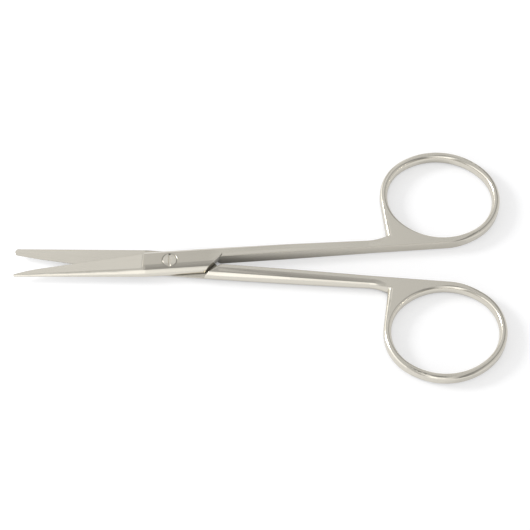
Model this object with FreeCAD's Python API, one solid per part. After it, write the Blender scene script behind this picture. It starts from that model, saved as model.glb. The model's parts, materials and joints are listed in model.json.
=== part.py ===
import FreeCAD, Part
import math
import os

# Straight Knapp scissors with one sharp and one blunt tip: two forged halves and a pivot screw.
# Millimetres. The screw axis is Z through the origin, tips point to -X, finger rings to +X,
# and z = 0 is the flat of the underside on which the closed joint rests.
# Both halves are worked out in one closed frame, with the ring at +Y and the mating face at z = 0.
# The lower half is the upper one turned over about the long axis, with its own tip and screw hole.

# Opening
rest_opening = 9.0            # degrees between the two halves as they lie, 0 is fully closed
shank_gap = 0.10              # between the flat inner walls of the shanks when closed
face_gap = 0.04               # between the two mating faces
shoulder_gap = 0.20           # between plate end and shoulder when closed

# Joint and shank
joint_thickness = 3.8         # both layers together
ring_thickness = 3.1          # of stems and rings, the shanks taper down to it
crown_rise = 0.05             # of the crowned faces above the flat land that is ground on them
joint_front_x = -5.8          # where the ground blade faces start
notch_x = 11.6                # inner corner where the shanks part
notch_angle = 42.0            # degrees between plate end and long axis
shoulder_corner_radius = 0.45
plate_end_break = 0.18        # width of the broken edge along the plate end, and its depth
plate_end_break_depth = 0.15
shoulder_break = 0.55         # the same along the shoulder
shoulder_break_depth = 0.28
wall_edge_radius = 0.15       # broken edges of the inner wall

# Half widths of the body at its mid height and at the ridge between crowned face and side,
# with the drop of the ridge below the flat land, at a few places along the body
joint_half_width = 3.10
joint_ridge = 2.15
joint_ridge_drop = 0.24
shank_mid_x = 28.5
shank_mid_half_width = 2.85
shank_mid_ridge = 2.15
shank_mid_ridge_drop = 0.22
shank_neck_x = 47.0
shank_neck_half_width = 2.45
shank_neck_ridge = 1.90
shank_neck_ridge_drop = 0.16
stem_half_width = 3.30
stem_ridge = 2.75
stem_ridge_drop = 0.01

# Finger ring, an oval of four arcs
ring_major = 13.4             # half axes of the centre line
ring_minor = 11.6
ring_width = 1.83
ring_turn = -10.4             # degrees, far end turned towards the other ring
ring_x = 65.2
ring_edge_radius = 0.80       # of the outer edges, and bulge of the finger hole's wall
stem_lean = 3.0               # degrees between the stem's outer side and square
stem_edge_radius = 1.20       # where the stem meets the shank

# Blades
tip_x = -36.7
edge_land = 0.10              # height of the honed land along the cutting edge
blade_mid_x = -20.0
blade_mid_back = 2.06
blade_mid_blank_ridge = 1.00
blade_mid_blank_height = 1.12
blade_tip_back = 0.80
blade_tip_blank_ridge = 0.45
blade_tip_blank_height = 0.42
runout_radius = 0.5           # of the corner of the wheel that grinds the blade face
runout_x = -6.3               # where the ground face starts to rise to the joint
runout_turn = 6.5             # degrees between the run-out and square
blade_ridge_y = -1.50         # of the ridge between ground face and back, at the runout
blade_ridge_height = 1.72

sharp_edge_root = 2.95        # cutting edge, at the runout
sharp_knee_back = 5.7         # where the edge starts to curve, back from the tip
sharp_edge_knee = 0.78
sharp_belly_back = 2.2
sharp_edge_belly = 0.22
sharp_tip_y = -0.36

blunt_edge_root = 2.88
blunt_mid_back = 13.8         # all four back from the tip
blunt_edge_mid = 2.15
blunt_end_back = 0.40
blunt_edge_end = 0.78
blunt_nose_back = 0.05
blunt_nose_y = 0.20
blunt_heel_back = 1.2
blunt_heel_y = -0.95

# Pivot screw
screw_diameter = 2.4
screw_head_diameter = 3.35
screw_head_height = 0.95
screw_slot_width = 0.50
screw_slot_depth = 0.45
screw_edge_chamfer = 0.10
screw_slot_turn = 4.5         # degrees from square across the fixed half
screw_running_gap = 0.03      # around the shank, in the turning half
head_running_gap = 0.06       # around and under the head
thread_gap = 0.01             # around the thread, in the fixed half

half_joint = joint_thickness / 2
past = 1.0                    # how far cutting shapes reach past what they cut


def point(x, y, z=0.0):
    return FreeCAD.Vector(x, y, z)


def turned(place, degrees):
    return FreeCAD.Rotation(point(0, 0, 1), degrees).multVec(place)


def mixed(first, last, share):
    """Values that lie a share of the way from the first ones to the last."""
    return [a + (b - a) * share for a, b in zip(first, last)]


def blend(x, stations):
    """Values at x on straight lines between (x, values) stations, level past the last one."""
    for (x0, first), (x1, last) in zip(stations[:-1], stations[1:]):
        if x <= x1:
            return mixed(first, last, (x - x0) / (x1 - x0))
    return stations[-1][1]


# Sizes that follow from the ones above

ring_sum = ring_major + ring_minor + math.hypot(ring_major, ring_minor)
ring_end_shift = (ring_major - ring_minor) * ring_sum / ring_major / 2
ring_side_shift = (ring_major - ring_minor) * ring_sum / ring_minor / 2
ring_end_arc = ring_major - ring_end_shift
ring_side_arc = ring_minor + ring_side_shift
ring_join = math.degrees(math.atan2(ring_major, ring_minor))
ring_low = ring_side_arc - ring_side_shift * math.cos(math.radians(ring_turn))
ring_y = ring_low + (shank_gap + ring_width) / 2
ring_top_y = ring_y + ring_major + ring_width
ring_far_x = ring_x + ring_major + ring_width
sharp_knee = point(tip_x + sharp_knee_back, sharp_edge_knee)
blunt_end = point(tip_x + blunt_end_back, blunt_edge_end)
notch = point(notch_x, shank_gap / 2)
plate_end_way = turned(point(-1, 0), notch_angle)
shoulder_way = turned(point(-1, 0), -notch_angle)
shoulder_start = point(notch_x, -shank_gap / 2) + turned(shoulder_way, -90) * shoulder_gap
wide = joint_half_width + past
tall = half_joint + past


def on_ring(centre_x, centre_y, radius, direction):
    """Place at a radius from one of the oval's arc centres, direction in degrees from its long axis."""
    place = point(centre_x, centre_y) + turned(point(radius, 0), direction)
    return turned(place, ring_turn) + point(ring_x, ring_y)


stem_top_way = 180 + stem_lean - ring_turn
stem_top = on_ring(-ring_end_shift, 0, ring_end_arc + ring_width / 2, stem_top_way)
stem_slope = math.tan(math.radians(stem_lean))
stem_x = stem_top.x + (stem_top.y - stem_half_width) * stem_slope
bar_end_x = stem_x + stem_edge_radius + past


def half_thickness(x):
    """Half the thickness, level up to the middle of the shanks and then down to the stem's."""
    places = [(shank_mid_x, [half_joint]), (shank_neck_x, [ring_thickness / 2])]
    return blend(max(x, shank_mid_x), places)[0]


def solid_between(outline, z_low, z_high):
    """Straight-walled solid over a closed list of edges."""
    face = Part.Face(Part.Wire(outline))
    prism = face.extrude(point(0, 0, z_high - z_low))
    prism.translate(point(0, 0, z_low))
    return prism


def polygon(corners):
    return Part.makePolygon(corners + corners[:1]).Edges


def arc_from(start, way, end):
    """Arc that leaves start along way and ends at end."""
    normal = point(-way.y, way.x)
    normal.normalize()
    chord = end - start
    radius = chord.dot(chord) / (2 * chord.dot(normal))
    centre = start + normal * radius
    middle = (start + end) * 0.5 - centre
    middle.normalize()
    return Part.Arc(start, centre + middle * abs(radius), end).toShape()


def thickness_slab():
    """Everything between the two ground faces, which taper along the shanks."""
    places = [tip_x - 3 * past, shank_mid_x, shank_neck_x, ring_far_x + past]
    profile = [(x, half_thickness(x)) for x in places]
    corners = [point(x, -wide, z) for x, z in profile]
    corners += [point(x, -wide, -z) for x, z in reversed(profile)]
    face = Part.Face(Part.makePolygon(corners + corners[:1]))
    return face.extrude(point(0, wide + ring_top_y, 0))


def shank_values(x):
    """Half width, ridge and ridge drop from the joint to the stem, where the outer side sweeps up."""
    joint = [joint_half_width, joint_ridge, joint_ridge_drop]
    middle = [shank_mid_half_width, shank_mid_ridge, shank_mid_ridge_drop]
    neck = [shank_neck_half_width, shank_neck_ridge, shank_neck_ridge_drop]
    stem = [stem_half_width, stem_ridge, stem_ridge_drop]
    if x > shank_neck_x:
        share = min((x - shank_neck_x) / (stem_x - shank_neck_x), 1)
        return mixed(neck, stem, share ** 2)
    places = [(joint_front_x, joint), (notch_x, joint), (shank_mid_x, middle), (shank_neck_x, neck)]
    return blend(x, places)


def blade_values(x):
    """Half width, ridge and ridge height of the back of a blade."""
    tip = [blade_tip_back, blade_tip_blank_ridge, blade_tip_blank_height]
    middle = [blade_mid_back, blade_mid_blank_ridge, blade_mid_blank_height]
    root = [joint_half_width, joint_ridge, half_joint - joint_ridge_drop]
    return blend(x, [(tip_x, tip), (blade_mid_x, middle), (joint_front_x, root)])


def lens_section(x):
    """Cross-section at x: crowned faces, ridges and bulged sides."""
    side, ridge, drop = shank_values(max(x, joint_front_x))
    height = half_thickness(x) - drop
    back, back_ridge, back_height = blade_values(x) if x < joint_front_x else (side, ridge, height)
    middle = (ridge - back_ridge) / 2
    crown = (height + back_height) / 2 + drop + crown_rise
    ridges = [point(x, -back_ridge, back_height), point(x, ridge, height),
              point(x, ridge, -height), point(x, -back_ridge, -back_height)]
    bulges = [point(x, middle, crown), point(x, side), point(x, middle, -crown), point(x, -back)]
    return Part.Wire([Part.Arc(ridges[i], bulges[i], ridges[(i + 1) % 4]).toShape() for i in range(4)])


def loft_through(places, straight):
    return Part.makeLoft([lens_section(x) for x in places], True, straight, False, 3)


def body():
    """Full-width body from the tips to the stems, both layers together."""
    places = [tip_x - 2 * past, blade_mid_x, joint_front_x, notch_x, shank_mid_x, shank_neck_x]
    long_part = loft_through(places, True)
    step = (stem_x - shank_neck_x) / 3
    sweep = loft_through([shank_neck_x, shank_neck_x + step, stem_x - step, stem_x], False)
    return long_part.fuse([sweep, loft_through([stem_x, bar_end_x], True)])


def upper_layer():
    """Blade, plate and shank above the mating face, up to the slanting end of the plate."""
    plate_end = notch + plate_end_way * (wide / -plate_end_way.y + shank_gap)
    corners = [notch, point(bar_end_x + past, notch.y), point(bar_end_x + past, wide),
               point(tip_x - past, wide), point(tip_x - past, plate_end.y), plate_end]
    return solid_between(polygon(corners), face_gap / 2, tall)


def lower_layer():
    """Shank below the mating face, which ends in the shoulder that the other plate closes on."""
    start, way = shoulder_start, shoulder_way
    corner = start + way * ((shank_gap / 2 - start.y) / way.y)
    top = start + way * ((wide - start.y) / way.y)
    corners = [corner, point(bar_end_x + past, corner.y), point(bar_end_x + past, wide), top]
    layer = solid_between(polygon(corners), -tall, face_gap / 2)
    upright = [edge for edge in layer.Edges
               if all(abs(v.X - corner.x) + abs(v.Y - corner.y) < 1e-6 for v in edge.Vertexes)]
    return layer.makeFillet(shoulder_corner_radius, upright)


def broken_edge(start, way, width, depth, face_z):
    """Wedge that breaks the edge between a slanting end wall and a ground face."""
    inward = turned(way, -90) * width
    upward = point(0, 0, math.copysign(depth, face_z))
    edge = start - way * past + point(0, 0, face_z)
    corners = [edge + inward * across + upward * up for across, up in ((-1, -2), (2, 1), (-1, 1))]
    return Part.Face(Part.makePolygon(corners + corners[:1])).extrude(way * (2 * wide + past))


def grinding_wheel(edge_root, knee):
    """Everything above the ground blade face, with the wheel's round corner towards the joint."""
    land = face_gap / 2 + edge_land
    start = point(runout_x, edge_root, land)
    along = knee + point(0, 0, land) - start
    along.normalize()
    up_slope = point(runout_x, blade_ridge_y, blade_ridge_height) - start
    normal = along.cross(up_slope)
    normal.normalize()
    if normal.z < 0:
        normal = normal * -1
    bend = math.sqrt(0.5) * runout_radius
    middle = start - along * bend + normal * (runout_radius - bend)
    end = start + (normal - along) * runout_radius
    rise = normal * (2 * tall)
    far = start + along * (runout_x - tip_x + 3 * past)
    top = far + normal * runout_radius + rise
    corners = [end, end + rise, top, far, start]
    profile = [Part.Arc(start, middle, end).toShape()]
    profile += [Part.makeLine(a, b) for a, b in zip(corners[:-1], corners[1:])]
    across = turned(point(0, 1), -runout_turn)
    across.z = -(across.x * normal.x + across.y * normal.y) / normal.z
    wheel = Part.Face(Part.Wire(profile))
    wheel.translate(across * (-2 * wide))
    return wheel.extrude(across * (4 * wide))


def sharp_edge_outline():
    """Edges along the sharp blade, from the joint to the tip."""
    root = point(runout_x, sharp_edge_root)
    belly = point(tip_x + sharp_belly_back, sharp_edge_belly)
    tip = point(tip_x, sharp_tip_y)
    shoulder = point(joint_front_x + past / 2, joint_half_width + past / 4)
    edges = [arc_from(root, root - sharp_knee, shoulder), Part.makeLine(root, sharp_knee),
             Part.Arc(sharp_knee, belly, tip).toShape()]
    return edges, shoulder, tip


def blunt_edge_outline():
    """Edges along the blunt blade, from the joint round the nose to the back."""
    root = point(runout_x, blunt_edge_root)
    middle = point(tip_x + blunt_mid_back, blunt_edge_mid)
    nose = point(tip_x + blunt_nose_back, blunt_nose_y)
    heel = point(tip_x + blunt_heel_back, blunt_heel_y)
    shoulder = point(joint_front_x + past / 2, joint_half_width + past / 4)
    edges = [Part.makeLine(shoulder, root), Part.Arc(root, middle, blunt_end).toShape(),
             Part.Arc(blunt_end, nose, heel).toShape()]
    return edges, shoulder, heel


def beyond_edge(outline, first, last):
    """Everything past the cutting edge and the tip."""
    corners = [last, point(last.x + past / 4, -wide), point(tip_x - 2 * past, -wide),
               point(tip_x - 2 * past, 2 * wide), point(first.x, 2 * wide), first]
    edges = outline + [Part.makeLine(a, b) for a, b in zip(corners[:-1], corners[1:])]
    return solid_between(edges, 0, tall)


def ring_pieces(left_end, bottom_start):
    """Bottom, right, top and left arc of the oval: centre, radius and the directions of both ends."""
    return [(0, ring_side_shift, ring_side_arc, bottom_start, 360 - ring_join),
            (ring_end_shift, 0, ring_end_arc, -ring_join, ring_join),
            (0, -ring_side_shift, ring_side_arc, ring_join, 180 - ring_join),
            (-ring_end_shift, 0, ring_end_arc, 180 - ring_join, left_end)]


def ring_arcs(grow, left_end, bottom_start):
    """The four arcs of the oval that is grow larger than the centre line."""
    arcs = []
    for x, y, radius, first, last in ring_pieces(left_end, bottom_start):
        places = [on_ring(x, y, radius + grow, way) for way in (first, (first + last) / 2, last)]
        arcs.append(Part.Arc(*places).toShape())
    return arcs


def half_oval(centre, top, side):
    """Half of an ellipse about centre, from top through side."""
    if (top - centre).Length > (side - centre).Length:
        return Part.ArcOfEllipse(Part.Ellipse(top, side, centre), 0, math.pi).toShape()
    return Part.ArcOfEllipse(Part.Ellipse(side, top, centre), -math.pi / 2, math.pi / 2).toShape()


def ring_hole():
    """The finger hole as four turned pieces with a rounded wall, and the core between them."""
    flat = point(0, 0, ring_thickness / 2)
    top = point(0, 0, tall)
    closed_at = 180 + ring_join
    pieces = [solid_between(ring_arcs(-(ring_width + past) / 2, closed_at, closed_at), -tall, tall)]
    for x, y, radius, first, last in ring_pieces(closed_at, closed_at):
        inside, wall, rim = [on_ring(x, y, radius - ring_width / 2 + grow, first)
                             for grow in (-past, 0, ring_edge_radius)]
        corners = [rim - flat, rim - top, inside - top, inside + top, rim + top, rim + flat]
        profile = [half_oval(rim, rim + flat, wall)]
        profile += [Part.makeLine(a, b) for a, b in zip(corners[:-1], corners[1:])]
        section = Part.Face(Part.Wire(profile))
        pieces.append(section.revolve(on_ring(x, y, 0, 0), point(0, 0, 1), last - first))
    return pieces


def lies_on_face(edge):
    """True for an edge in one of the two ground faces."""
    first, last = edge.FirstParameter, edge.LastParameter
    places = [edge.valueAt(first + (last - first) * step / 4) for step in range(5)]
    return all(abs(abs(p.z) - half_thickness(p.x)) < 1e-4 for p in places)


def in_plan(place):
    return point(place.x, place.y)


def outline_piece(edge, rounding):
    """The piece of outline that an edge follows, with its radii at both ends."""
    middle = Part.Vertex(in_plan(edge.valueAt((edge.FirstParameter + edge.LastParameter) / 2)))
    for row in rounding:
        if row[0].distToShape(middle)[0] < 1e-3:
            return row
    return None


def rounding_rows(plate, rounding, side):
    """Edge numbers and radii for the upper (1) or lower (-1) face, in the direction of its first edge."""
    rows = []
    forward = None
    for number, edge in enumerate(plate.Edges, 1):
        found = outline_piece(edge, rounding) if lies_on_face(edge) else None
        if found and edge.valueAt(edge.FirstParameter).z * side > 0:
            piece, first_radius, last_radius = found
            if forward is None:
                start = in_plan(edge.valueAt(edge.FirstParameter))
                forward = (start - piece.valueAt(piece.FirstParameter)).Length < 1e-3
            radii = (first_radius, last_radius) if forward else (last_radius, first_radius)
            rows.append((number,) + radii)
    return rows


def rounded(plate, rounding):
    """Plate with its face edges rounded, the radius growing evenly along each piece of outline."""
    document = FreeCAD.newDocument("rounding")
    base = document.addObject("Part::Feature", "plate")
    base.Shape = plate
    fillet = document.addObject("Part::Fillet", "fillet")
    fillet.Base = base
    fillet.Edges = rounding_rows(base.Shape, rounding, 1) + rounding_rows(base.Shape, rounding, -1)
    document.recompute()
    result = fillet.Shape.copy()
    FreeCAD.closeDocument(document.Name)
    return result


def ring_plate():
    """Finger ring, stem and the web between them and the shank, with rounded edges."""
    low = 270 - ring_turn
    outer = ring_arcs(ring_width / 2, stem_top_way, low)
    heel = point(bar_end_x - past / 2, shank_gap / 2)
    step = point(heel.x, stem_half_width / 2)
    root = point(stem_x + (stem_half_width - step.y) * stem_slope, step.y)
    wall = Part.makeLine(heel, on_ring(0, ring_side_shift, ring_side_arc + ring_width / 2, low))
    stem = Part.makeLine(stem_top, root)
    outline = [wall] + outer + [stem, Part.makeLine(root, step), Part.makeLine(step, heel)]
    plate = solid_between(outline, -tall, tall).common(thickness_slab())
    bottom, right, top, left = outer
    outside = [(wall, wall_edge_radius, wall_edge_radius), (bottom, wall_edge_radius, ring_edge_radius),
               (stem, ring_edge_radius, stem_edge_radius)]
    outside += [(arc, ring_edge_radius, ring_edge_radius) for arc in (right, top, left)]
    return rounded(plate, outside).cut(ring_hole())


def bar(wheel, beyond):
    """Blade, plate and shank of one half."""
    slab = thickness_slab()
    layers = upper_layer().common(slab).fuse(lower_layer().common(slab))
    blank = body().common(layers).cut(wheel).cut(beyond).removeSplitter()
    wall = [edge for edge in blank.Edges
            if lies_on_face(edge) and all(abs(v.Y - shank_gap / 2) < 1e-4 for v in edge.Vertexes)]
    end_break = broken_edge(notch, plate_end_way, plate_end_break, plate_end_break_depth, half_joint)
    step_break = broken_edge(shoulder_start, shoulder_way, shoulder_break, shoulder_break_depth, -half_joint)
    return blank.makeFillet(wall_edge_radius, wall).cut([end_break, step_break])


def cylinder(radius, z_low, z_high):
    return Part.makeCylinder(radius, z_high - z_low, point(0, 0, z_low))


def screw_seat():
    """Running hole and head recess in the turning half."""
    hole = cylinder(screw_diameter / 2 + screw_running_gap, -tall, tall)
    recess_radius = screw_head_diameter / 2 + head_running_gap
    recess = cylinder(recess_radius, half_joint - screw_head_height - head_running_gap, tall)
    rim = Part.makeCone(recess_radius, recess_radius + tall, tall, point(0, 0, half_joint - screw_edge_chamfer))
    return hole.fuse([recess, rim])


def turn_over(shape):
    done = shape.copy()
    done.rotate(point(0, 0), point(1, 0, 0), 180)
    return done


def sharp_half():
    """Upper half: sharp blade, ring at +Y."""
    wheel = grinding_wheel(sharp_edge_root, sharp_knee)
    forging = bar(wheel, beyond_edge(*sharp_edge_outline())).fuse(ring_plate())
    return forging.cut(screw_seat())


def blunt_half():
    """Lower half: blunt blade, turned over, ring at -Y, threaded hole without its thread."""
    wheel = grinding_wheel(blunt_edge_root, blunt_end)
    forging = bar(wheel, beyond_edge(*blunt_edge_outline())).fuse(ring_plate())
    return turn_over(forging).cut(cylinder(screw_diameter / 2 + thread_gap, -tall, tall))


def pivot_screw():
    """Slotted screw, head and end ground flush with the crowned faces."""
    head = cylinder(screw_head_diameter / 2, half_joint - screw_head_height, tall)
    blank = cylinder(screw_diameter / 2, -tall, tall).fuse(head)
    flush = blank.common(loft_through([joint_front_x, notch_x], True)).common(thickness_slab())
    slot_floor = half_joint - screw_slot_depth
    slot = Part.makeBox(screw_slot_width, 2 * wide, tall, point(-screw_slot_width / 2, -wide, slot_floor))
    slot.rotate(point(0, 0), point(0, 0, 1), screw_slot_turn)
    rim = cylinder(screw_head_diameter, half_joint - screw_edge_chamfer, tall).cut(
        Part.makeCone(screw_head_diameter / 2, screw_head_diameter / 2 - screw_edge_chamfer,
                      screw_edge_chamfer, point(0, 0, half_joint - screw_edge_chamfer)))
    return flush.cut(slot).cut(rim)


def placed(shape, turn):
    """Opened by turn degrees and stood on the underside of the joint."""
    done = shape.copy()
    done.rotate(point(0, 0), point(0, 0, 1), turn)
    done.translate(point(0, 0, half_joint))
    return done


def build():
    return {
        "sharp_half": placed(sharp_half(), rest_opening / 2),
        "blunt_half": placed(blunt_half(), -rest_opening / 2),
        "pivot_screw": placed(pivot_screw(), -rest_opening / 2),
    }


if __name__ == "__main__":
    os.makedirs("parts", exist_ok=True)
    for name, shape in build().items():
        solid = shape.Solids[0]
        solid.exportStep("parts/" + name + ".step")
        print(name, len(shape.Solids), "solid,", round(solid.Volume, 2), "mm3, valid", solid.isValid())
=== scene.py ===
import bpy
import json
import math
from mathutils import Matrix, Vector


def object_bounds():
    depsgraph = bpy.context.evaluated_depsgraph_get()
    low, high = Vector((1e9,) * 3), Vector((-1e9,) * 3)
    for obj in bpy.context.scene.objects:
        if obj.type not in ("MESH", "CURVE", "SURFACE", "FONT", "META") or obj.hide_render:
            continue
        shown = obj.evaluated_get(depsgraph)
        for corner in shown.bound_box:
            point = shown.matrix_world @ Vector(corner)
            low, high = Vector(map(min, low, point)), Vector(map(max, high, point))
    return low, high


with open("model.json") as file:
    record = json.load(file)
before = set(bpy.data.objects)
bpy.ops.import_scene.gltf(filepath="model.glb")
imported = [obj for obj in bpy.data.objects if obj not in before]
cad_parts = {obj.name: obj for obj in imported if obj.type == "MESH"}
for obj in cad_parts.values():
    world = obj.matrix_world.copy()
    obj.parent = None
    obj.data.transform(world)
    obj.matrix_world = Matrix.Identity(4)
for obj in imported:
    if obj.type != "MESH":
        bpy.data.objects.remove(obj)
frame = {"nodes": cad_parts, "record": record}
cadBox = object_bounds()
nodes = frame["nodes"]
print("frame loaded:", ", ".join(sorted(nodes)))

mm = 0.001


def hexColour(code):
    # sRGB hex to the linear values that a colour socket takes
    parts = [int(code[i:i + 2], 16) / 255 for i in (0, 2, 4)]
    return [p / 12.92 if p <= 0.04045 else ((p + 0.055) / 1.055) ** 2.4 for p in parts] + [1.0]


def addNode(tree, kind, inputs=None, **settings):
    # inputs: socket name or number -> a value, or another node's output to link
    node = tree.nodes.new("ShaderNode" + kind)
    for name, value in settings.items():
        setattr(node, name, value)
    for socket, value in (inputs or {}).items():
        if isinstance(value, bpy.types.NodeSocket):
            tree.links.new(value, node.inputs[socket])
        else:
            node.inputs[socket].default_value = value
    return node


def emptyTree(owner):
    owner.use_nodes = True
    owner.node_tree.nodes.clear()
    return owner.node_tree


# Satin stainless steel, forged, belt ground and lightly polished: a warm grey metal whose soft streaks
# follow the belt, lengthwise on blades and shanks, round the rings and across the short rise at the
# joint. The joint's level faces and the inner walls of the shanks are painted a little greyer, as
# painted shade. Seams and the narrow end between the shanks get painted shade too, darker where
# ambient occlusion finds them enclosed.
# A span gives the two ends of a change, first where it has no effect yet, then where it is full.
steel = {
    "colour": "e8e3d7",
    "flatsShadeColour": "d9d4c8",          # painted shade on the joint's level faces and the inner walls
    "paintedShadeColour": "45423b",          # painted shade in seams and the crotch
    "satinRoughness": 0.23,          # blades and joint
    "polishRoughness": 0.16,         # shanks and rings
    "polishSpanMm": (9.0, 13.0),     # along the half, from the joint to the shank
    "jointSpanMm": (-6.4, -6.1),     # along the half, from the blade to the joint
    "roughnessSpread": 0.05,
    "cloudShare": 0.45,              # of the spread, the rest follows the belt lines
    "cloudMm": 7.0,                  # slow changes of gloss from hand polishing
    "cloudDetail": 2.0,
    "noiseSpan": (0.3, 0.7),         # the levels between which noise mostly stays
    "beltLineMm": 0.28,              # real belt lines are finer, this is as coarse as needs to show
    "beltLineLengthMm": 14.0,
    "lineDetail": 3.0,
    "lineBreakup": 0.6,
    "lineDepthMm": 0.0009,
    "ringRadiusMm": 12.0,            # makes lengths of the angles round a ring
    "ringSpanMm": (17.0, 14.5),      # distance from the ring's centre
    "riseMm": -6.6,                  # along the half, the middle of the rise from blade to joint
    "riseSpanMm": (1.17, 0.9),       # distance from there
    "riseLineMm": 0.45,              # as coarse as needs to show too
    "edgeSoftMm": 0.10,              # broken edges
    "edgeSamples": 6,
    "reachSamples": 8,
    "seamReachMm": 0.8,
    "seamSpan": (0.68, 0.48),        # how open a point is, 1 is a free flat
    "seamDepth": 0.97,
    "footSpanMm": (0.25, 0.5),       # height above the table, lower down no seam shade is painted
    "crotchReachMm": 8.0,
    "crotchSpan": (0.50, 0.10),
    "crotchDepth": 0.80,
    "levelSpan": (0.80, 0.97),       # upward share of a face's direction
    "wallSpan": (0.93, 0.985),       # inward share of it
}


def streaks(tree, look, along, across, widthMm):
    # noise drawn out along one direction, both directions in metres
    length = addNode(tree, "Math", {0: along, 1: 1 / (look["beltLineLengthMm"] * mm)}, operation="MULTIPLY")
    width = addNode(tree, "Math", {0: across, 1: 1 / (widthMm * mm)}, operation="MULTIPLY")
    place = addNode(tree, "CombineXYZ", {"X": length.outputs[0], "Y": width.outputs[0]})
    noise = addNode(tree, "TexNoise", {"Vector": place.outputs[0], "Scale": 1.0, "Detail": look["lineDetail"],
                                       "Roughness": look["lineBreakup"]}, noise_dimensions="2D")
    return noise.outputs["Fac"]


def beltLines(tree, look, here, own, ringCentre):
    # blades and shanks, lengthwise
    bar = streaks(tree, look, own.outputs["X"], own.outputs["Y"], look["beltLineMm"])
    # rings, round their centre
    fromCentre = addNode(tree, "VectorMath", {0: here, 1: ringCentre}, operation="SUBTRACT")
    flat = addNode(tree, "SeparateXYZ", {0: fromCentre.outputs[0]})
    angle = addNode(tree, "Math", {0: flat.outputs["Y"], 1: flat.outputs["X"]}, operation="ARCTAN2")
    arc = addNode(tree, "Math", {0: angle.outputs[0], 1: look["ringRadiusMm"] * mm}, operation="MULTIPLY")
    plan = addNode(tree, "CombineXYZ", {"X": flat.outputs["X"], "Y": flat.outputs["Y"]})
    radius = addNode(tree, "VectorMath", {0: plan.outputs[0]}, operation="LENGTH")
    height = addNode(tree, "Math", {0: radius.outputs["Value"], 1: flat.outputs["Z"]}, operation="ADD")
    ring = streaks(tree, look, arc.outputs[0], height.outputs[0], look["beltLineMm"])
    ringFrom, ringTo = look["ringSpanMm"]
    ringShare = addNode(tree, "MapRange", {"Value": radius.outputs["Value"], "From Min": ringFrom * mm,
                                           "From Max": ringTo * mm}, interpolation_type="SMOOTHSTEP")
    onRing = addNode(tree, "Mix", {"Factor": ringShare.outputs[0], "A": bar, "B": ring})
    # rise at the joint, across
    band = streaks(tree, look, own.outputs["Y"], own.outputs["X"], look["riseLineMm"])
    past = addNode(tree, "Math", {0: own.outputs["X"], 1: look["riseMm"] * mm}, operation="SUBTRACT")
    away = addNode(tree, "Math", {0: past.outputs[0]}, operation="ABSOLUTE")
    riseFrom, riseTo = look["riseSpanMm"]
    riseShare = addNode(tree, "MapRange", {"Value": away.outputs[0], "From Min": riseFrom * mm,
                                           "From Max": riseTo * mm}, interpolation_type="SMOOTHSTEP")
    grain = addNode(tree, "Mix", {"Factor": riseShare.outputs[0], "A": onRing.outputs[0], "B": band})
    return grain.outputs[0]


def handPolish(tree, look, here, own, grain):
    # roughness: satin to polished along the half, uneven from place to place
    cloud = addNode(tree, "TexNoise", {"Vector": here, "Scale": 1 / (look["cloudMm"] * mm),
                                       "Detail": look["cloudDetail"]})
    gloss = addNode(tree, "Mix", {"Factor": look["cloudShare"], "A": grain, "B": cloud.outputs["Fac"]})
    noiseFrom, noiseTo = look["noiseSpan"]
    spread = addNode(tree, "MapRange", {"Value": gloss.outputs[0], "From Min": noiseFrom, "From Max": noiseTo,
                                        "To Min": -look["roughnessSpread"],
                                        "To Max": look["roughnessSpread"]})
    polishFrom, polishTo = look["polishSpanMm"]
    finish = addNode(tree, "MapRange", {"Value": own.outputs["X"], "From Min": polishFrom * mm,
                                        "From Max": polishTo * mm, "To Min": look["satinRoughness"],
                                        "To Max": look["polishRoughness"]})
    return addNode(tree, "Math", {0: finish.outputs[0], 1: spread.outputs[0]}, operation="ADD").outputs[0]


def paintedCreviceShade(tree, look, own):
    # painted shade: seams above the table, and the crotch between the shanks, darkened where ambient
    # occlusion is low
    seam = addNode(tree, "AmbientOcclusion", {"Distance": look["seamReachMm"] * mm},
                   samples=look["reachSamples"])
    seamFrom, seamTo = look["seamSpan"]
    seamShare = addNode(tree, "MapRange", {"Value": seam.outputs["AO"], "From Min": seamFrom,
                                           "From Max": seamTo, "To Max": look["seamDepth"]})
    footFrom, footTo = look["footSpanMm"]
    above = addNode(tree, "MapRange", {"Value": own.outputs["Z"], "From Min": footFrom * mm,
                                       "From Max": footTo * mm})
    seamShade = addNode(tree, "Math", {0: seamShare.outputs[0], 1: above.outputs[0]}, operation="MULTIPLY")
    crotch = addNode(tree, "AmbientOcclusion", {"Distance": look["crotchReachMm"] * mm},
                     samples=look["reachSamples"])
    crotchFrom, crotchTo = look["crotchSpan"]
    crotchShade = addNode(tree, "MapRange", {"Value": crotch.outputs["AO"], "From Min": crotchFrom,
                                            "From Max": crotchTo, "To Max": look["crotchDepth"]})
    return addNode(tree, "Math", {0: seamShade.outputs[0], 1: crotchShade.outputs[0]},
                   operation="MAXIMUM").outputs[0]


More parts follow.
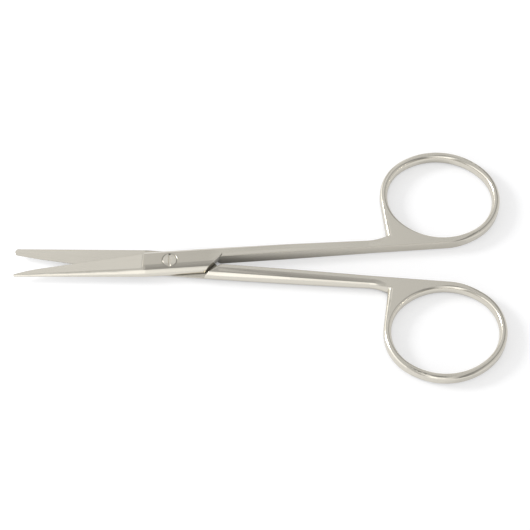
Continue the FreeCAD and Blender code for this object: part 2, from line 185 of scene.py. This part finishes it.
def flatsAndWallsShade(tree, look, own, facing, inwardSign):
    # painted shade: level faces of the joint, and inner walls of the shanks, which face the other half along
    # Y, turn greyer
    jointFrom, jointTo = look["jointSpanMm"]
    pastBlade = addNode(tree, "MapRange", {"Value": own.outputs["X"], "From Min": jointFrom * mm,
                                           "From Max": jointTo * mm})
    shankFrom, shankTo = look["polishSpanMm"]
    shank = addNode(tree, "MapRange", {"Value": own.outputs["X"], "From Min": shankFrom * mm,
                                       "From Max": shankTo * mm})
    joint = addNode(tree, "Math", {0: pastBlade.outputs[0], 1: shank.outputs[0]}, operation="SUBTRACT")
    level = addNode(tree, "Math", {0: facing.outputs["Z"]}, operation="ABSOLUTE")
    levelFrom, levelTo = look["levelSpan"]
    levelShare = addNode(tree, "MapRange", {"Value": level.outputs[0], "From Min": levelFrom,
                                            "From Max": levelTo})
    inward = addNode(tree, "Math", {0: facing.outputs["Y"], 1: inwardSign}, operation="MULTIPLY")
    wallFrom, wallTo = look["wallSpan"]
    wallShare = addNode(tree, "MapRange", {"Value": inward.outputs[0], "From Min": wallFrom,
                                           "From Max": wallTo})
    innerWall = addNode(tree, "Math", {0: wallShare.outputs[0], 1: shank.outputs[0]}, operation="MULTIPLY")
    return addNode(tree, "Math", {0: joint.outputs[0], 1: levelShare.outputs[0], 2: innerWall.outputs[0]},
                   operation="MULTIPLY_ADD", use_clamp=True).outputs[0]


def openingCentre(name):
    # middle of one of the record's finger openings
    openings = frame["record"]["physics"]["openings"]
    low, high = [box["box_m"] for box in openings if box["name"] == name][0]
    return tuple((a + b) / 2 for a, b in zip(low, high))


def satinSteel(look, half):
    material = bpy.data.materials.new(half["material"])
    tree = emptyTree(material)
    places = addNode(tree, "TexCoord")
    here = places.outputs["Object"]
    turn = math.radians(half["turnDegrees"])
    turned = addNode(tree, "Mapping", {"Vector": here, "Rotation": (0, 0, -turn)})
    own = addNode(tree, "SeparateXYZ", {0: turned.outputs[0]})    # along the half, across it and up
    facing = addNode(tree, "SeparateXYZ", {0: places.outputs["Normal"]})
    grain = beltLines(tree, look, here, own, openingCentre(half["opening"]))
    roughness = handPolish(tree, look, here, own, grain)
    soft = addNode(tree, "Bevel", {"Radius": look["edgeSoftMm"] * mm}, samples=look["edgeSamples"])
    bump = addNode(tree, "Bump", {"Height": grain, "Distance": look["lineDepthMm"] * mm,
                                  "Normal": soft.outputs[0]})
    # painted shade: the joint's level faces and the inner walls turn greyer
    flatsShaded = addNode(tree, "Mix", {"Factor": flatsAndWallsShade(tree, look, own, facing, -math.copysign(1, turn)),
                                  6: hexColour(look["colour"]), 7: hexColour(look["flatsShadeColour"])},
                    data_type="RGBA")
    # painted shade darkens the seams and the crotch
    colour = addNode(tree, "Mix", {"Factor": paintedCreviceShade(tree, look, own), 6: flatsShaded.outputs[2],
                                   7: hexColour(look["paintedShadeColour"])}, data_type="RGBA")
    shader = addNode(tree, "BsdfPrincipled", {"Base Color": colour.outputs[2], "Metallic": 1.0,
                                              "Roughness": roughness, "Normal": bump.outputs[0]})
    addNode(tree, "OutputMaterial", {"Surface": shader.outputs[0]})
    return material


# how far each half lies turned from the long axis, and the opening its ring goes round
halves = {
    "sharp_half": {"material": "satin stainless steel, sharp half", "opening": "upper_finger_ring",
                   "turnDegrees": 4.5},
    "blunt_half": {"material": "satin stainless steel, blunt half", "opening": "lower_finger_ring",
                   "turnDegrees": -4.5},
}

# Turned stainless screw: the same metal, with fine rings from facing off the head.
screw = {
    "colour": "e8e3d7",
    "roughness": 0.20,
    "ringLineMm": 0.16,              # real tool marks are finer, this is as coarse as needs to show
    "lineDepthMm": 0.002,
    "lineStrength": 0.5,
    "edgeSoftMm": 0.22,
    "edgeSamples": 6,
}


def turnedSteel(look):
    material = bpy.data.materials.new("turned stainless steel")
    tree = emptyTree(material)
    here = addNode(tree, "TexCoord").outputs["Object"]
    flat = addNode(tree, "Mapping", {"Vector": here, "Scale": (1, 1, 0)})
    radius = addNode(tree, "VectorMath", {0: flat.outputs[0]}, operation="LENGTH")
    perMetre = 2 * math.pi / (look["ringLineMm"] * mm)
    count = addNode(tree, "Math", {0: radius.outputs["Value"], 1: perMetre}, operation="MULTIPLY")
    wave = addNode(tree, "Math", {0: count.outputs[0]}, operation="SINE")
    soft = addNode(tree, "Bevel", {"Radius": look["edgeSoftMm"] * mm}, samples=look["edgeSamples"])
    bump = addNode(tree, "Bump", {"Height": wave.outputs[0], "Strength": look["lineStrength"],
                                  "Distance": look["lineDepthMm"] * mm, "Normal": soft.outputs[0]})
    shader = addNode(tree, "BsdfPrincipled", {"Base Color": hexColour(look["colour"]), "Metallic": 1.0,
                                              "Roughness": look["roughness"], "Normal": bump.outputs[0]})
    addNode(tree, "OutputMaterial", {"Surface": shader.outputs[0]})
    return material


dress = {name: satinSteel(steel, half) for name, half in halves.items()}
dress["pivot_screw"] = turnedSteel(screw)
for name, material in dress.items():
    mesh = nodes[name].data
    mesh.materials.clear()
    mesh.materials.append(material)
print("steel on", len(dress), "nodes")

# Matt white paper: plain and a little overexposed, so that only soft shadows show on it.
floor = {
    "sizeM": 4.0,
    "dropMm": 0.02,                  # below the lowest face, so that the two do not coincide
    "colour": "c6c6c7",
    "lift": 0.545,                   # brings the paper up to white where nothing shades it
    "creviceMm": 3.0,
    "creviceSpan": (0.08, 0.30),     # how open a point is, 1 is open paper
    "liftInSteel": 0.36,             # the same in the steel's reflections
    "shadedInSteel": 0.18,
    "shadeMm": 12.0,
    "shadeSpan": (0.10, 0.65),
    "paintedLightAtTips": 0.66,              # painted light: the paper is painted brighter towards the tips, the lamp's side
    "tipsMm": -38.0,
    "evenFromMm": 8.0,
    "reachSamples": 8,
}


def addFloor(look):
    bpy.ops.mesh.primitive_plane_add(size=look["sizeM"], location=(0, 0, cadBox[0].z - look["dropMm"] * mm))
    sheet = bpy.context.object
    sheet.name = "floor"
    material = bpy.data.materials.new("matt white paper")
    tree = emptyTree(material)
    paper = addNode(tree, "BsdfDiffuse", {"Color": hexColour(look["colour"])})
    seen = addNode(tree, "LightPath")
    # as the camera sees it: the paper's lift, with painted shade that takes it away in the crevices under the
    # steel
    place = addNode(tree, "SeparateXYZ", {0: addNode(tree, "TexCoord").outputs["Object"]})
    # painted light: the lift grows towards the tips
    lift = addNode(tree, "MapRange", {"Value": place.outputs["X"], "From Min": look["tipsMm"] * mm,
                                      "From Max": look["evenFromMm"] * mm, "To Min": look["paintedLightAtTips"],
                                      "To Max": look["lift"]}, interpolation_type="SMOOTHSTEP")
    crevice = addNode(tree, "AmbientOcclusion", {"Distance": look["creviceMm"] * mm},
                      samples=look["reachSamples"])
    creviceFrom, creviceTo = look["creviceSpan"]
    creviceShadedLift = addNode(tree, "MapRange", {"Value": crevice.outputs["AO"], "From Min": creviceFrom,
                                         "From Max": creviceTo, "To Max": lift.outputs[0]})
    direct = addNode(tree, "Math", {0: seen.outputs["Is Camera Ray"], 1: creviceShadedLift.outputs[0]},
                     operation="MULTIPLY")
    # as the steel reflects it: the paper's glow, with painted shade where other steel is near, reaching more
    # widely
    openAir = addNode(tree, "AmbientOcclusion", {"Distance": look["shadeMm"] * mm},
                      samples=look["reachSamples"])
    shadeFrom, shadeTo = look["shadeSpan"]
    shaded = addNode(tree, "MapRange", {"Value": openAir.outputs["AO"], "From Min": shadeFrom,
                                        "From Max": shadeTo, "To Min": look["shadedInSteel"],
                                        "To Max": look["liftInSteel"]})
    strength = addNode(tree, "Math", {0: seen.outputs["Is Glossy Ray"], 1: shaded.outputs[0],
                                      2: direct.outputs[0]}, operation="MULTIPLY_ADD")
    glow = addNode(tree, "Emission", {"Strength": strength.outputs[0]})
    both = addNode(tree, "AddShader", {0: paper.outputs[0], 1: glow.outputs[0]})
    addNode(tree, "OutputMaterial", {"Surface": both.outputs[0]})
    sheet.data.materials.append(material)


addFloor(floor)
print("floor laid")

# Light tent: white walls, a dimmer roof towards the back and the dark opening above the front
tent = {
    # degrees from the back horizon over the top to the front, and brightness
    "overLevels": [(0, 0.58), (45, 0.57), (62, 0.62), (75, 0.45), (84, 0.31), (94, 0.20), (112, 0.18),
                   (128, 0.80), (142, 1.0), (180, 1.0)],
    # from the left edge of the roof to the right one
    "acrossLevels": [(0.0, 0.97), (0.33, 0.97), (0.42, 0.64), (0.54, 0.84), (0.66, 0.63), (1.0, 0.50)],
    "roofEdge": 0.30,                # sine of the angle at which those edges lie
    # white cards over tips and rings, the least that the roof gives there
    "cardLevels": [(0.0, 0.50), (0.34, 0.50), (0.41, 0.0), (0.60, 0.0), (0.70, 0.45), (1.0, 0.45)],
    "roofStrength": 1.45,
    # sine of the angle towards either side: a dark gap beside the roof, then a white wall
    "sideLevels": [(0.0, 0.38), (0.42, 0.38), (0.56, 0.50), (0.74, 0.98), (1.0, 0.92)],
    "sideFrom": 0.22,
    "sideTo": 0.38,
    "leftStrength": 1.25,
    "rightStrength": 0.70,
}


def addTent(look):
    world = bpy.data.worlds.new("light tent")
    bpy.context.scene.world = world
    tree = emptyTree(world)
    way = addNode(tree, "SeparateXYZ", {0: addNode(tree, "TexCoord").outputs["Generated"]})
    angle = addNode(tree, "Math", {0: way.outputs["Z"], 1: way.outputs["Y"]}, operation="ARCTAN2")
    over = addNode(tree, "Math", {0: angle.outputs[0], 1: math.pi}, operation="DIVIDE")
    across = addNode(tree, "MapRange", {"Value": way.outputs["X"], "From Min": -look["roofEdge"],
                                        "From Max": look["roofEdge"]})
    sideways = addNode(tree, "Math", {0: way.outputs["X"]}, operation="ABSOLUTE")
    grey = {}
    for name, place in (("overLevels", over), ("acrossLevels", across), ("cardLevels", across),
                        ("sideLevels", sideways)):
        ramp = addNode(tree, "ValToRGB", {0: place.outputs[0]})
        ramp.color_ramp.interpolation = "EASE"
        points = ramp.color_ramp.elements      # it has its two ends from the start
        levels = look[name]
        last = levels[-1][0]
        for mark, level in levels[1:-1]:
            points.new(mark / last)
        for point, (mark, level) in zip(points, levels):
            point.color = (level, level, level, 1)
        grey[name] = ramp.outputs[0]
    # roof
    dimmed = addNode(tree, "VectorMath", {0: grey["overLevels"], 1: grey["acrossLevels"]},
                     operation="MULTIPLY")
    filled = addNode(tree, "VectorMath", {0: dimmed.outputs[0], 1: grey["cardLevels"]}, operation="MAXIMUM")
    roof = addNode(tree, "VectorMath", {0: filled.outputs[0], "Scale": look["roofStrength"]},
                   operation="SCALE")
    # sides
    sideStrength = addNode(tree, "MapRange", {"Value": way.outputs["X"], "From Min": -look["sideFrom"],
                                              "From Max": look["sideFrom"], "To Min": look["leftStrength"],
                                              "To Max": look["rightStrength"]})
    sideLit = addNode(tree, "VectorMath", {0: grey["sideLevels"], "Scale": sideStrength.outputs[0]},
                      operation="SCALE")
    toSide = addNode(tree, "MapRange", {"Value": sideways.outputs[0], "From Min": look["sideFrom"],
                                        "From Max": look["sideTo"]}, interpolation_type="SMOOTHSTEP")
    inside = addNode(tree, "Mix", {"Factor": toSide.outputs[0], 6: roof.outputs[0],
                                   7: sideLit.outputs[0]}, data_type="RGBA")
    # the camera sees plain white past the paper's edge
    lit = addNode(tree, "Background", {"Color": inside.outputs[2]})
    plain = addNode(tree, "Background", {"Color": (1, 1, 1, 1)})
    seen = addNode(tree, "LightPath")
    both = addNode(tree, "MixShader", {0: seen.outputs["Is Camera Ray"], 1: lit.outputs[0],
                                       2: plain.outputs[0]})
    addNode(tree, "OutputWorld", {"Surface": both.outputs[0]})


addTent(tent)
print("tent up")

# One large soft lamp from the left, a little towards the back
lamp = {"placeM": (-1.34, 0.32, 0.84), "sizeM": 0.40, "watts": 12.5}


def addLamp(look):
    data = bpy.data.lights.new("soft lamp", "AREA")
    data.shape = "SQUARE"
    data.size = look["sizeM"]
    data.energy = look["watts"]
    light = bpy.data.objects.new("soft lamp", data)
    light.location = look["placeM"]
    light.rotation_euler = (-Vector(look["placeM"])).to_track_quat("-Z", "Y").to_euler()
    bpy.context.scene.collection.objects.link(light)


addLamp(lamp)
print("lamp on")

# Camera at the photograph's angle
view = {
    "targetMm": (22.35, -0.28, 1.9),
    "distanceMm": 451,
    "elevation": 62.0,
    "azimuth": 0.27,
    "lensMm": 130.4,
    "sensorMm": 36.0,
    "nearestM": 0.01,
    "farthestM": 20,
}


def addCamera(look):
    data = bpy.data.cameras.new("camera")
    data.lens = look["lensMm"]
    data.sensor_width = look["sensorMm"]
    data.clip_start = look["nearestM"]
    data.clip_end = look["farthestM"]
    camera = bpy.data.objects.new("camera", data)
    azimuth, elevation = math.radians(look["azimuth"]), math.radians(look["elevation"])
    back = Vector((math.sin(azimuth) * math.cos(elevation), -math.cos(azimuth) * math.cos(elevation),
                   math.sin(elevation)))
    camera.location = (Vector(look["targetMm"]) + back * look["distanceMm"]) * mm
    camera.rotation_euler = (-back).to_track_quat("-Z", "Y").to_euler()
    bpy.context.scene.collection.objects.link(camera)
    bpy.context.scene.camera = camera


addCamera(view)
bpy.context.scene.view_settings.view_transform = "Standard"
print("camera set")
